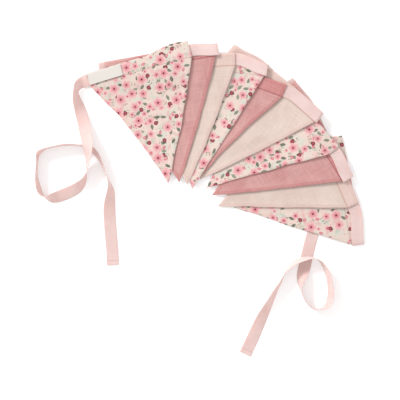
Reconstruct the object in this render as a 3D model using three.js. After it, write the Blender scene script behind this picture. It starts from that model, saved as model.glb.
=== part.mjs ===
import * as THREE from 'three';

// Fabric bunting folded into a fan: ten pennants on one tape that runs back and forth between them,
// with a loose tail at each end and a small label. Millimetres and degrees, +Z up, lying on z = 0.

// Cloth and tape
const CLOTH_THICK = 1.0;
const TAPE_THICK = 1.0;
const TAPE_WIDTH = 18;
const LABEL_THICK = 1.0;
const LABEL_LENGTH = 52;
const LABEL_INSET = 0.8;
const LAYER_GAP = 0.6;

// A pennant's triangle opens this much to each side of its axis, below a square-ended heading band
const HALF_APEX = 25.1;
const HEADING_BAND = 19;
const TAPE_INSET = 0.6;

// An upper layer clears a lower edge by the margin, then comes down over the soft width
const EDGE_MARGIN = 2.5;
const SOFT_WIDTH = 46;

// Points round each turn of the tape
const TURN_STEPS = 4;

// Share of a free bend over which the tape keeps its direction, at each end, and tension of a tail's curve
const BEND_REACH = 1 / 3;
const TAIL_LEAD = 1 / 2;
const TAIL_TENSION = 0.5;

// Mesh pitch
const TRIANGLE_ROWS = 13;
const BAND_ROWS = 2;
const TAPE_STEP = 13;
const TAIL_STEPS_PER_ROW = 2;
const LABEL_COLUMNS = 5;
const OUTLINE_STEPS = 10;

// One row for each pennant, from the top of the pile: tip in plan, turn of the axis above +X, side of the
// triangle, half width to the left end of the heading, inward bow of the two sides, outward crown of
// the heading, flare of its band at the right end, drop of its left end, reach of the tape past the left
// and right ends, and height of its ripple.
const PENNANT_COLUMNS = ['tipX', 'tipY', 'turn', 'side', 'left', 'bowLeft', 'bowRight', 'crown', 'flare',
  'drop', 'leftReach', 'rightReach', 'ripple', 'cloth'];
const PENNANT_ROWS = [
  [-47.3, 24.5, 104.6, 193, 77.5, 6, -3.5, 1, 7.5, 3, 0, 0, 1.0, 'floral'],
  [-30.8, 26.0, 99.1, 197, 83, 1, -3.5, 0, 0, 0, 8, 3.5, 0.7, 'rose'],
  [-18.5, 22.2, 93.3, 193, 82, 1, -2.7, 0, 0, 0, 0, 0, 0.8, 'cream'],
  [-11.7, 16.8, 82.6, 200, 76, 1, -0.8, 0, 0, 0, 0, 1.5, 0.7, 'floral'],
  [-7.1, 26.0, 69.6, 183, 77, 1, 4.6, 0, 0, 0, 0, 0, 0.8, 'rose'],
  [-0.8, 29.7, 51.8, 193, 82, 1, -1.8, 4, 0, 0, 2, 0.5, 0.8, 'cream'],
  [9.0, 17.6, 40.5, 191, 80, 1, 1.0, 0, 0, 0, 0, 0, 0.7, 'floral'],
  [18.2, 6.9, 31.3, 196, 83, 1, -1.0, 0, 0, 0, 5, 0.5, 0.7, 'rose'],
  [25.8, -9.2, 24.4, 196, 78, 1, -1.0, 0, 0, 0, 0, 0, 0.7, 'cream'],
  [44.3, -9.0, 7.5, 193, 83, 0, -1.0, 0, 0, 12, 4, 0, 0, 'floral'],
];
// Place along the heading where a flare begins, and its run, as shares of the heading
const FLARE_FROM = 0.61;
const FLARE_RUN = 0.51;
const RIPPLE_LENGTH = 95;

// The last pennant's tape leaves its heading here and turns under the pennant's left side
const LAST_TURN_ALONG_SIDE = 172;
const LAST_TURN_LEAVES_AT = -26;

// Tails, from the pile outwards: place in plan, lean of the tape from flat, and lift off what it lies on
const TAIL_COLUMNS = ['x', 'y', 'lean', 'lift'];
const LEFT_TAIL_ROWS = [
  [-175, 177, -5, 0],
  [-182, 172, -44, 0],
  [-186, 163, -68, 0],
  [-185, 152, -52, 0],
  [-181, 139, -30, 0],
  [-176, 121, -8, 3],
  [-171, 100, 5, 11],
  [-167, 81, 30, 18],
  [-167, 64, 58, 9],
  [-169, 49, 76, 2],
  [-171, 39, 90, 0],
  [-175, 28, 118, 0],
  [-186, 17, 152, 0],
  [-205, 8, 164, 0],
  [-221, 3, 140, 0],
  [-233, 4, 94, 0],
  [-241, 15, 72, 0],
  [-245, 36, 84, 0],
  [-244, 57, 88, 0],
  [-242, 70, 76, 0],
  [-231, 77, 86, 0],
  [-214, 81, 87, 0],
  [-198, 83, 83, 0],
  [-180, 82, 86, 0],
  [-167, 79, 66, 0],
  [-157, 71, 66, 0],
  [-148, 57, 76, 0],
  [-138, 31, 90, 0],
  [-134, 16, 120, 0],
  [-135.3, -1, 146, 0],
  [-136.2, -18, 168, 0],
  [-134.5, -47, 178, 0],
  [-132.3, -73, 180, 0],
  [-131, -98, 180, 0],
];
const RIGHT_TAIL_ROWS = [
  [194, 63, 0, 0],
  [191, 30, 0, 0],
  [181, -12, 0, 0],
  [169, -53, 0, 0],
  [161, -84, 0, 0],
  [157, -102, 8, 0],
  [152, -118, 48, 0],
  [151, -132, 85, 0],
  [157, -150, 90, 0],
  [166, -161, 90, 0],
  [178, -164, 88, 0],
  [189, -160, 104, 0],
  [195, -150, 116, 0],
  [196, -133, 114, 0],
  [192, -112, 108, 0],
  [184, -96, 101, 0.8],
  [172, -87, 88, 2],
  [157, -88, 74, 2],
  [143, -93.5, 72, 0.8],
  [133, -102, 80, 0],
  [127, -110, 92, 0],
  [121.5, -122, 103, 0],
  [114, -135, 112, 0],
  [104.5, -154, 128, 0],
  [92.4, -178, 156, 0],
  [81, -204, 172, 0],
  [68, -232, 180, 0],
];
// Rows at the start of the right tail that lie under the last pennant
const RIGHT_TAIL_HIDDEN_ROWS = 4;

const FINISHES = {
  floral: { color: 0xe9c4bd, roughness: 0.85 },
  rose: { color: 0xd3949a, roughness: 0.9 },
  cream: { color: 0xe8cfc4, roughness: 0.9 },
  tape: { color: 0xf3d2cd, roughness: 0.75 },
  label: { color: 0xf4f1ec, roughness: 0.8 },
};

const readTable = (columns, rows) => rows.map((row) => (
  Object.fromEntries(columns.map((column, index) => [column, row[index]]))
));

const smooth = (t) => t * t * (3 - 2 * t);
const plan = (x, y) => new THREE.Vector2(x, y);
const leftOf = (direction) => plan(-direction.y, direction.x);

// A pennant's own axes: v runs from the tip to the heading, u runs along the heading to the right end
function shapePennant(row, number) {
  const turn = THREE.MathUtils.degToRad(row.turn);
  const apex = THREE.MathUtils.degToRad(HALF_APEX);
  const tip = plan(row.tipX, row.tipY);
  const along = plan(Math.cos(turn), Math.sin(turn));
  const right = plan(Math.sin(turn), -Math.cos(turn));
  const height = row.side * Math.cos(apex);
  const half = { left: row.left, right: row.side * Math.sin(apex) };
  const place = (u, v) => tip.clone().addScaledVector(right, u).addScaledVector(along, v);
  const share = (u) => (u + half.left) / (half.left + half.right);
  const headingShift = (u) => (
    row.crown * Math.sin(Math.PI * share(u)) - row.drop * Math.max(0, 1 - share(u))
  );
  const bandWidth = (u) => (
    HEADING_BAND + row.flare * Math.sin(Math.PI * THREE.MathUtils.clamp((share(u) - FLARE_FROM) / FLARE_RUN, 0, 1))
  );
  const sideAt = (v, edge, bow) => edge * v / height - bow * Math.sin(Math.PI * v / height);
  // A point of the cloth: rise runs from 0 at the tip to 1 at the band, across from 0 at the left edge to 1
  const triangleAt = (rise, across) => {
    const v = rise * height;
    const low = -sideAt(v, half.left, row.bowLeft);
    const high = sideAt(v, half.right, row.bowRight);
    const u = low + (high - low) * across;
    return place(u, v + rise * rise * headingShift(u));
  };
  const bandAt = (rise, across) => {
    const u = -half.left + (half.left + half.right) * across;
    return place(u, height + rise * bandWidth(u) + headingShift(u));
  };
  const tapeAt = (u) => place(u, height + HEADING_BAND - TAPE_INSET - TAPE_WIDTH / 2 + headingShift(u));
  return { ...row, number, right, half, triangleAt, bandAt, tapeAt };
}

function outlinePennant(pennant) {
  const steps = Array.from({ length: OUTLINE_STEPS }, (_, index) => index / OUTLINE_STEPS);
  return [
    ...steps.map((t) => pennant.triangleAt(t, 1)),
    ...steps.map((t) => pennant.bandAt(1, 1 - t)),
    pennant.bandAt(1, 0),
    ...steps.slice(1).map((t) => pennant.triangleAt(1 - t, 0)),
  ];
}

// Distance from a point to a chain of segments, and whether the point lies inside a closed one
function distanceToChain(point, chain, closed) {
  let best = Infinity;
  const count = closed ? chain.length : chain.length - 1;
  for (let index = 0; index < count; index += 1) {
    const start = chain[index];
    const side = chain[(index + 1) % chain.length].clone().sub(start);
    const t = THREE.MathUtils.clamp(point.clone().sub(start).dot(side) / side.lengthSq(), 0, 1);
    best = Math.min(best, point.distanceTo(start.clone().addScaledVector(side, t)));
  }
  return best;
}

function isInside(point, outline) {
  let inside = false;
  outline.forEach((corner, index) => {
    const next = outline[(index + 1) % outline.length];
    const spans = (corner.y > point.y) !== (next.y > point.y);
    if (spans && point.x < corner.x + (next.x - corner.x) * (point.y - corner.y) / (next.y - corner.y)) {
      inside = !inside;
    }
  });
  return inside;
}

function coverage(distance) {
  return smooth(1 - THREE.MathUtils.clamp((distance - EDGE_MARGIN) / SOFT_WIDTH, 0, 1));
}

const coverOfCloth = (outline) => (point) => (
  isInside(point, outline) ? 1 : coverage(distanceToChain(point, outline, true))
);
const coverOfTape = (chain) => (point) => coverage(distanceToChain(point, chain, false) - TAPE_WIDTH / 2);

// Points along a pennant's tape from one end of its heading to the other, and along a free bend
function runAlong(pennant, from, to) {
  const steps = Math.ceil(Math.abs(to - from) / TAPE_STEP);
  return Array.from({ length: steps + 1 }, (_, index) => pennant.tapeAt(from + (to - from) * index / steps));
}

function bend(from, fromDirection, to, toDirection) {
  const reach = from.distanceTo(to) * BEND_REACH;
  const curve = new THREE.CubicBezierCurve(
    from,
    from.clone().addScaledVector(fromDirection, reach),
    to.clone().addScaledVector(toDirection, -reach),
    to,
  );
  return curve.getPoints(Math.max(2, Math.ceil(from.distanceTo(to) / TAPE_STEP)));
}

// Chains laid end to end, each starting where the one before it ends
const joinChains = (first, ...others) => others.reduce((whole, chain) => whole.concat(chain.slice(1)), first);

const pennants = readTable(PENNANT_COLUMNS, PENNANT_ROWS).map((row, index) => shapePennant(row, index + 1));
const leftTail = readTable(TAIL_COLUMNS, LEFT_TAIL_ROWS);
const rightTail = readTable(TAIL_COLUMNS, RIGHT_TAIL_ROWS);

// Where the tape turns: past the right end of an even pennant, and past the left end of one
const reversed = (direction) => direction.clone().negate();
const turnAtRight = (even) => even.tapeAt(even.half.right + even.rightReach);
const turnAtLeft = (even) => even.tapeAt(-even.half.left - even.leftReach);

function lastTurn(last) {
  const share = LAST_TURN_ALONG_SIDE / last.side;
  const side = last.triangleAt(1, 0).sub(last.triangleAt(0, 0)).normalize();
  const outward = leftOf(side);
  return { at: last.triangleAt(share, 0).addScaledVector(outward, last.leftReach), outward };
}

// The run of tape of each pennant, in the order in which the tape is followed from the left tail
function tapeRun(pennant) {
  const odd = pennant.number % 2 === 1;
  if (odd) {
    const before = pennants[pennant.number - 2];
    const even = pennants[pennant.number];
    const start = pennant.tapeAt(-pennant.half.left);
    const end = pennant.tapeAt(pennant.half.right);
    const lead = before ? bend(turnAtLeft(before), before.right, start, pennant.right) : [start];
    const heading = runAlong(pennant, -pennant.half.left, pennant.half.right);
    return joinChains(lead, heading, bend(end, pennant.right, turnAtRight(even), even.right));
  }
  const back = reversed(pennant.right);
  if (pennant.number < pennants.length) {
    const heading = runAlong(pennant, pennant.half.right + pennant.rightReach, -pennant.half.left);
    return joinChains(heading, [pennant.tapeAt(-pennant.half.left), turnAtLeft(pennant)]
      .filter((point, index) => index === 0 || pennant.leftReach > 0));
  }
  const heading = runAlong(pennant, pennant.half.right + pennant.rightReach, LAST_TURN_LEAVES_AT);
  const turn = lastTurn(pennant);
  return joinChains(heading, bend(pennant.tapeAt(LAST_TURN_LEAVES_AT), back, turn.at, turn.outward));
}

// Layers from the floor up: each rests on all that lie below it
const runs = pennants.map(tapeRun);
const hiddenTail = [lastTurn(pennants.at(-1)).at]
  .concat(rightTail.slice(0, RIGHT_TAIL_HIDDEN_ROWS + 1).map((row) => plan(row.x, row.y)));
const layers = [{ name: 'tail', thick: TAPE_THICK, cover: coverOfTape(hiddenTail), ripple: 0, phase: 0 }];

function addClothLayer(pennant) {
  layers.push({
    name: `cloth ${pennant.number}`,
    thick: CLOTH_THICK,
    cover: coverOfCloth(outlinePennant(pennant)),
    ripple: pennant.ripple,
    phase: pennant.number,
  });
}

function addTapeLayer(pennant) {
  const cover = coverOfTape(runs[pennant.number - 1]);
  layers.push({ name: `tape ${pennant.number}`, thick: TAPE_THICK, cover, ripple: 0, phase: 0 });
}

pennants.toReversed().forEach((pennant) => {
  addTapeLayer(pennant);
  addClothLayer(pennant);
});

const layerIndex = (name) => layers.findIndex((layer) => layer.name === name);
const LABEL_LAYER = layers.length;

// Height of a layer's underside: all the layers below it, and the soft ripples of the cloth up to it
function undersideAt(index, point) {
  let height = 0;
  layers.slice(0, index + 1).forEach((layer, order) => {
    const cover = layer.cover(point);
    const wave = Math.sin((point.x * Math.cos(layer.phase) + point.y * Math.sin(layer.phase))
      * 2 * Math.PI / RIPPLE_LENGTH + layer.phase);
    height += cover * layer.ripple * (1 + wave) / 2;
    if (order < index) {
      height += cover * (layer.thick + LAYER_GAP);
    }
  });
  return height;
}

// A closed body from shared points and triangles that face outwards
function closedBody(points, triangles) {
  const geometry = new THREE.BufferGeometry();
  geometry.setAttribute('position', new THREE.Float32BufferAttribute(points.flat(), 3));
  geometry.setIndex(triangles.flat());
  geometry.computeVertexNormals();
  return geometry;
}

// A sheet of even thickness from its plan points, its upward triangles and its rim in anticlockwise order
function sheetBody(planPoints, triangles, rim, layer, thick) {
  const low = planPoints.map((point) => [point.x, point.y, undersideAt(layer, point)]);
  const high = low.map(([x, y, z]) => [x, y, z + thick]);
  const shift = low.length;
  const walls = rim.flatMap((corner, index) => {
    const next = rim[(index + 1) % rim.length];
    return [[corner, next, next + shift], [corner, next + shift, corner + shift]];
  });
  return closedBody([...low, ...high], [
    ...triangles.map(([a, b, c]) => [a, c, b]),
    ...triangles.map((triangle) => triangle.map((corner) => corner + shift)),
    ...walls,
  ]);
}

function pennantBody(pennant) {
  const points = [];
  const rows = [];
  const addRow = (count, at) => {
    rows.push(Array.from({ length: count + 1 }, (_, index) => points.length + index));
    for (let index = 0; index <= count; index += 1) {
      points.push(at(count ? index / count : 0));
    }
  };
  for (let row = 0; row <= TRIANGLE_ROWS; row += 1) {
    addRow(row, (across) => pennant.triangleAt(row / TRIANGLE_ROWS, across));
  }
  for (let row = 1; row <= BAND_ROWS; row += 1) {
    addRow(TRIANGLE_ROWS, (across) => pennant.bandAt(row / BAND_ROWS, across));
  }
  const triangles = [];
  rows.slice(1).forEach((upper, index) => {
    const lower = rows[index];
    const widening = upper.length - lower.length;
    for (let column = 0; column + 1 < upper.length; column += 1) {
      if (column < lower.length - 1 + widening) {
        triangles.push([lower[column], upper[column + 1], upper[column]]);
      }
      if (column + 1 < lower.length) {
        triangles.push([lower[column], lower[column + 1], upper[column + 1]]);
      }
    }
  });
  const rightEdge = rows.map((row) => row.at(-1));
  const leftEdge = rows.map((row) => row[0]).reverse();
  const rim = [...rightEdge, ...rows.at(-1).slice(0, -1).reverse(), ...leftEdge.slice(1, -1)];
  return sheetBody(points, triangles, rim, layerIndex(`cloth ${pennant.number}`), CLOTH_THICK);
}

function labelBody(pennant) {
  const share = LABEL_LENGTH / (pennant.half.left + pennant.half.right);
  const inset = LABEL_INSET / HEADING_BAND;
  const points = [];
  for (let row = 0; row <= BAND_ROWS; row += 1) {
    const rise = inset + (1 - 2 * inset) * row / BAND_ROWS;
    for (let column = 0; column <= LABEL_COLUMNS; column += 1) {
      points.push(pennant.bandAt(rise, LABEL_INSET / LABEL_LENGTH * share + share * column / LABEL_COLUMNS));
    }
  }
  const at = (row, column) => row * (LABEL_COLUMNS + 1) + column;
  const triangles = [];
  for (let row = 0; row < BAND_ROWS; row += 1) {
    for (let column = 0; column < LABEL_COLUMNS; column += 1) {
      triangles.push([at(row, column), at(row, column + 1), at(row + 1, column + 1)]);
      triangles.push([at(row, column), at(row + 1, column + 1), at(row + 1, column)]);
    }
  }
  const columns = Array.from({ length: LABEL_COLUMNS + 1 }, (_, index) => index);
  const middleRows = Array.from({ length: BAND_ROWS - 1 }, (_, index) => index + 1);
  const rim = [
    ...columns.map((column) => at(0, column)),
    ...middleRows.map((row) => at(row, LABEL_COLUMNS)),
    ...columns.map((column) => at(BAND_ROWS, LABEL_COLUMNS - column)),
    ...middleRows.map((row) => at(BAND_ROWS - row, 0)),
  ];
  return sheetBody(points, triangles, rim, LABEL_LAYER, LABEL_THICK);
}

// Tape sections: three places across the width, each with a point on the tape's face and one on its back.
// The face looks up on an odd pennant's run, and down on an even one's, where the tape comes back.
const ACROSS = [TAPE_WIDTH / 2, 0, -TAPE_WIDTH / 2];

function directionAt(chain, index) {
  const before = chain[Math.max(0, index - 1)];
  const after = chain[Math.min(chain.length - 1, index + 1)];
  return after.clone().sub(before).normalize();
}

function flatSections(chain, layer, faceUp, firstDirection, lastDirection) {
  return chain.map((centre, index) => {
    const ends = { 0: firstDirection, [chain.length - 1]: lastDirection };
    const direction = ends[index] ?? directionAt(chain, index);
    const side = leftOf(direction).multiplyScalar(faceUp ? 1 : -1);
    return ACROSS.map((across) => {
      const point = centre.clone().addScaledVector(side, across);
      const low = undersideAt(layer, point);
      const under = [point.x, point.y, low];
      const over = [point.x, point.y, low + TAPE_THICK];
      return faceUp ? { face: over, back: under } : { face: under, back: over };
    });
  });
}

// A half turn of the tape from an upper run to a lower one, bulging along the direction of the upper run
function turnSections(centre, outward, upperLayer, lowerLayer, upperFaceUp) {
  const side = leftOf(outward).multiplyScalar(upperFaceUp ? 1 : -1);
  const sections = [];
  for (let step = 1; step < TURN_STEPS; step += 1) {
    const angle = Math.PI * (0.5 - step / TURN_STEPS);
    sections.push(ACROSS.map((across) => {
      const point = centre.clone().addScaledVector(side, across);
      const upper = undersideAt(upperLayer, point);
      const lower = undersideAt(lowerLayer, point);
      const middle = (upper + lower + TAPE_THICK) / 2;
      const at = (radius) => {
        const place = point.clone().addScaledVector(outward, radius * Math.cos(angle));
        return [place.x, place.y, middle + radius * Math.sin(angle)];
      };
      const outer = at((upper - lower + TAPE_THICK) / 2);
      const inner = at((upper - lower - TAPE_THICK) / 2);
      return upperFaceUp ? { face: outer, back: inner } : { face: inner, back: outer };
    }));
  }
  return sections;
}

// A tail from the pile outwards, leaning as its rows say
function tailSections(start, startDirection, rows, layer) {
  const first = plan(rows[0].x, rows[0].y);
  const lead = start.clone().addScaledVector(startDirection, start.distanceTo(first) * TAIL_LEAD);
  const places = [
    new THREE.Vector3(lead.x, lead.y, 0),
    ...rows.map((row) => new THREE.Vector3(row.x, row.y, row.lift)),
  ];
  const leans = [0, ...rows.map((row) => row.lean)].map((lean) => new THREE.Vector3(lean, 0, 0));
  const route = new THREE.CatmullRomCurve3(places, false, 'catmullrom', TAIL_TENSION);
  const twist = new THREE.CatmullRomCurve3(leans, false, 'catmullrom', TAIL_TENSION);
  const steps = (places.length - 1) * TAIL_STEPS_PER_ROW;
  return Array.from({ length: steps + 1 }, (_, index) => {
    const t = index / steps;
    const centre = route.getPoint(t);
    const tangent = route.getTangent(t);
    const direction = plan(tangent.x, tangent.y).normalize();
    const lean = THREE.MathUtils.degToRad(twist.getPoint(t).x);
    const left = leftOf(direction);
    const across = new THREE.Vector3(left.x * Math.cos(lean), left.y * Math.cos(lean), Math.sin(lean));
    const normal = new THREE.Vector3(-left.x * Math.sin(lean), -left.y * Math.sin(lean), Math.cos(lean));
    const standing = (TAPE_WIDTH * Math.abs(Math.sin(lean)) + TAPE_THICK * Math.abs(Math.cos(lean))) / 2;
    centre.z = Math.max(0, centre.z) + standing + undersideAt(layer, plan(centre.x, centre.y));
    return ACROSS.map((offset) => {
      const middle = centre.clone().addScaledVector(across, offset);
      return {
        face: middle.clone().addScaledVector(normal, TAPE_THICK / 2).toArray(),
        back: middle.clone().addScaledVector(normal, -TAPE_THICK / 2).toArray(),
      };
    });
  });
}

function tapeBody() {
  const first = pennants[0];
  const start = first.tapeAt(-first.half.left);
  const sections = tailSections(start, reversed(first.right), leftTail, layerIndex('tape 1'))
    .map((section) => section.toReversed())
    .reverse();
  pennants.forEach((pennant, index) => {
    const odd = pennant.number % 2 === 1;
    const layer = layerIndex(`tape ${pennant.number}`);
    const next = pennants[index + 1];
    const before = pennants[index - 1];
    const back = reversed(pennant.right);
    if (odd) {
      sections.push(...flatSections(runs[index], layer, true, before?.right ?? pennant.right, next.right));
      const lower = layerIndex(`tape ${next.number}`);
      sections.push(...turnSections(turnAtRight(next), next.right, layer, lower, true));
      return;
    }
    const outward = next ? back : lastTurn(pennant).outward;
    const centre = next ? turnAtLeft(pennant) : lastTurn(pennant).at;
    const lower = next ? layerIndex(`tape ${next.number}`) : layerIndex('tail');
    sections.push(...flatSections(runs[index], layer, false, back, outward));
    sections.push(...turnSections(centre, outward, layer, lower, false));
  });
  const turn = lastTurn(pennants.at(-1));
  const inward = reversed(turn.outward);
  sections.push(...flatSections([turn.at], layerIndex('tail'), true, inward, inward));
  sections.push(...tailSections(turn.at, inward, rightTail, layerIndex('tail')));
  return sweepBody(sections);
}

function sweepBody(sections) {
  const points = [];
  const faces = [];
  const backs = [];
  sections.forEach((section) => {
    faces.push(section.map(({ face }) => points.push(face) - 1));
    backs.push(section.map(({ back }) => points.push(back) - 1));
  });
  const triangles = [];
  const quad = (a, b, c, d) => triangles.push([a, b, c], [a, c, d]);
  const last = ACROSS.length - 1;
  for (let here = 0; here + 1 < sections.length; here += 1) {
    const next = here + 1;
    for (let column = 0; column < last; column += 1) {
      quad(faces[here][column], faces[here][column + 1], faces[next][column + 1], faces[next][column]);
      quad(backs[next][column], backs[next][column + 1], backs[here][column + 1], backs[here][column]);
    }
    quad(faces[here][0], faces[next][0], backs[next][0], backs[here][0]);
    quad(backs[here][last], backs[next][last], faces[next][last], faces[here][last]);
  }
  const end = sections.length - 1;
  for (let column = 0; column < last; column += 1) {
    quad(faces[0][column], backs[0][column], backs[0][column + 1], faces[0][column + 1]);
    quad(faces[end][column + 1], backs[end][column + 1], backs[end][column], faces[end][column]);
  }
  return closedBody(points, triangles);
}

function piece(name, geometry, finish) {
  const material = new THREE.MeshStandardMaterial({ ...FINISHES[finish], metalness: 0 });
  const mesh = new THREE.Mesh(geometry, material);
  mesh.name = name;
  return mesh;
}

// The pile, moved so that its origin is at the middle of its outline, on the surface it lies on
const bunting = new THREE.Group();
pennants.forEach((pennant) => {
  const number = String(pennant.number).padStart(2, '0');
  bunting.add(piece(`pennant_${number}`, pennantBody(pennant), pennant.cloth));
});
bunting.add(piece('tape', tapeBody(), 'tape'));
bunting.add(piece('label', labelBody(pennants[0]), 'label'));

const outlineBox = new THREE.Box3().setFromObject(bunting);
const middle = outlineBox.getCenter(new THREE.Vector3());
bunting.position.set(-middle.x, -middle.y, -outlineBox.min.z);

export default bunting;
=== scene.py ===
# %% [markdown]
# # A fabric bunting, folded into a fan
# Ten cloth pennants are sewn to one long pink tape. The tape runs back and forth, so the pennants lie on
# each other like the sticks of a fan, and its two ends trail off in loose loops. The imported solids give
# every fold; this lesson lays fine cloth on them and then gives each cloth its weave, print and stitches.

# %% Load the frame
import math

import bmesh
import bpy
import numpy as np
from mathutils import Matrix, Vector, noise
from mathutils.bvhtree import BVHTree


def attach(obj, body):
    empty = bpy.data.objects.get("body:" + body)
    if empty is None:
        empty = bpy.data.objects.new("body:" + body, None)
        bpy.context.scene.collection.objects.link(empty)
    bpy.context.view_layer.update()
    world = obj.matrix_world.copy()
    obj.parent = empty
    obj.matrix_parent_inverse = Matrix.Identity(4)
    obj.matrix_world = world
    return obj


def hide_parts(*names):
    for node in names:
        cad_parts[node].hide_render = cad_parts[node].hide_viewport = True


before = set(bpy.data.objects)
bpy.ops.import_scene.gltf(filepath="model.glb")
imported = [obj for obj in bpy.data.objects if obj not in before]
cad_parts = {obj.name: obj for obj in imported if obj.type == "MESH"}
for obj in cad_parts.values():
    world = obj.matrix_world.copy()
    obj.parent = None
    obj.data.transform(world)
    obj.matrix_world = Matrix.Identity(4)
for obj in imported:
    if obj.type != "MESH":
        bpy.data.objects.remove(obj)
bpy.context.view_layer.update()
MM = 0.001

# %% [markdown]
# ## Camera
# The bunting is seen straight from above. A long lens far away keeps the edges of the pile from leaning
# outwards, which a short lens close by would show. One pixel of the 400 pixel image is 1.5 mm of cloth.

# %% Camera above the fan
IMAGE_PIXELS = 400
PIXEL_SIZE = 1.5 * MM
VIEW_CENTRE = Vector((-0.3 * MM, -0.9 * MM, 7 * MM))
LENS_MM = 120
SENSOR_MM = 36

camera_data = bpy.data.cameras.new("camera")
camera_data.lens = LENS_MM
camera_data.sensor_width = SENSOR_MM
camera = bpy.data.objects.new("camera", camera_data)
view_distance = IMAGE_PIXELS * PIXEL_SIZE * LENS_MM / SENSOR_MM
camera.location = VIEW_CENTRE + Vector((0, 0, view_distance))
bpy.context.scene.collection.objects.link(camera)
bpy.context.scene.camera = camera
bpy.context.scene.view_settings.view_transform = "Standard"
print("Camera height in m:", round(camera.location.z, 3))

# %% [markdown]
# ## Small helpers for shader nodes
# A finish is a chain of nodes. Short helpers keep the chains readable: one adds a node, one feeds a socket
# with a link or a plain number, and the others add a math node, a soft step or a mix of two colours. Colours
# are written as they look on a screen and turned into the linear values that a shader needs.

# %% Node helpers
def screen_colour(red, green, blue):
    """A colour as seen on a screen, 0 to 255, as linear RGBA."""
    def linear(value):
        share = value / 255
        return share / 12.92 if share <= 0.04045 else ((share + 0.055) / 1.055) ** 2.4
    return (linear(red), linear(green), linear(blue), 1.0)


def add_node(tree, kind, **settings):
    made = tree.nodes.new(kind)
    for key, value in settings.items():
        setattr(made, key, value)
    return made


def feed(tree, socket, source):
    """Links a socket to another one, or gives it a plain value."""
    if isinstance(source, bpy.types.NodeSocket):
        tree.links.new(source, socket)
    else:
        socket.default_value = source


def calc(tree, operation, first, second=0.0, third=0.0):
    made = add_node(tree, "ShaderNodeMath", operation=operation)
    for socket, source in zip(made.inputs, (first, second, third)):
        feed(tree, socket, source)
    return made.outputs[0]


def vector_calc(tree, operation, first, second=None, scale=None):
    made = add_node(tree, "ShaderNodeVectorMath", operation=operation)
    feed(tree, made.inputs[0], first)
    if second is not None:
        feed(tree, made.inputs[1], second)
    if scale is not None:
        feed(tree, made.inputs["Scale"], scale)
    return made.outputs["Value" if operation == "LENGTH" else "Vector"]


def fade(tree, value, start, end, low=0.0, high=1.0):
    """A soft step from low to high while value goes from start to end."""
    made = add_node(tree, "ShaderNodeMapRange", interpolation_type="SMOOTHSTEP")
    for name, source in (("Value", value), ("From Min", start), ("From Max", end),
                         ("To Min", low), ("To Max", high)):
        feed(tree, made.inputs[name], source)
    return made.outputs["Result"]


def blend(tree, mask, below, above, mode="MIX"):
    made = add_node(tree, "ShaderNodeMix", data_type="RGBA", blend_type=mode)
    colours = [socket for socket in made.inputs if socket.type == "RGBA"]
    feed(tree, made.inputs["Factor"], mask)
    feed(tree, colours[0], below)
    feed(tree, colours[1], above)
    return next(socket for socket in made.outputs if socket.type == "RGBA")


print("Node helpers ready")

# %% [markdown]
# ## The pennants
# On the real bunting each pennant is two triangles of cloth, sewn along their sides and turned out, so its
# edges are rounded and a little puffed. A simulation could drop ten cloths on each other, but they would
# drift from the fan. Instead each sheet starts from the upper face of its solid, which already lies in the
# pile. It is cut finer, its facets are smoothed away, and the small shapes of sewing are pressed into it:
# the rolled seam, the sewn heading and a few soft creases.

# %% Where the pennants lie
# One row for each pennant, from the top of the pile: tip in plan in mm, turn of its axis in degrees, place of
# its heading seam up from the tip, crown of that seam and drop of its left end in mm, and cloth.
PENNANT_COLUMNS = ("number", "tip_x", "tip_y", "turn", "heading", "crown", "drop", "cloth")
PENNANT_ROWS = (
    (1, -47.6, 23.6, 104.6, 174.8, 1, 3, "floral"),
    (2, -31.1, 25.1, 99.1, 178.4, 0, 0, "rose"),
    (3, -18.8, 21.3, 93.3, 174.8, 0, 0, "cream"),
    (4, -12.0, 15.9, 82.6, 181.1, 0, 0, "floral"),
    (5, -7.4, 25.1, 69.6, 165.7, 0, 0, "rose"),
    (6, -1.1, 28.8, 51.8, 174.8, 4, 0, "cream"),
    (7, 8.7, 16.7, 40.5, 173.0, 0, 0, "floral"),
    (8, 17.9, 6.0, 31.3, 177.5, 0, 0, "rose"),
    (9, 25.5, -10.1, 24.4, 177.5, 0, 0, "cream"),
    (10, 44.0, -9.9, 7.5, 174.8, 0, 12, "floral"),
)
pennants = [dict(zip(PENNANT_COLUMNS, row)) for row in PENNANT_ROWS]
HALF_HEADING = 81 * MM
for pennant in pennants:
    turn = math.radians(pennant["turn"])
    pennant["node"] = f"pennant_{pennant['number']:02d}"
    pennant["tip"] = Vector((pennant["tip_x"] * MM, pennant["tip_y"] * MM))
    pennant["along"] = Vector((math.cos(turn), math.sin(turn)))
    pennant["right"] = Vector((math.sin(turn), -math.cos(turn)))
print("Pennants:", ", ".join(f"{p['number']} {p['cloth']}" for p in pennants))

# %% The upper face of a solid as a fine sheet
MERGE = 0.01 * MM
UPWARD = 0.5
FINE_CUTS = 5
SMOOTHING = 0.5
SMOOTHING_ROUNDS = 30


def upper_face(node, cuts, rounds):
    """A bmesh of the upper face of a solid, cut finer, with its facets smoothed in height."""
    sheet = bmesh.new()
    sheet.from_mesh(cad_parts[node].data)
    bmesh.ops.remove_doubles(sheet, verts=sheet.verts, dist=MERGE)
    sheet.normal_update()
    under = [face for face in sheet.faces if face.normal.z < UPWARD]
    bmesh.ops.delete(sheet, geom=under, context="FACES")
    bmesh.ops.subdivide_edges(sheet, edges=sheet.edges[:], cuts=cuts, use_grid_fill=True)
    for _ in range(rounds):
        bmesh.ops.smooth_vert(sheet, verts=sheet.verts[:], factor=SMOOTHING, use_axis_z=True)
    return sheet


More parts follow.
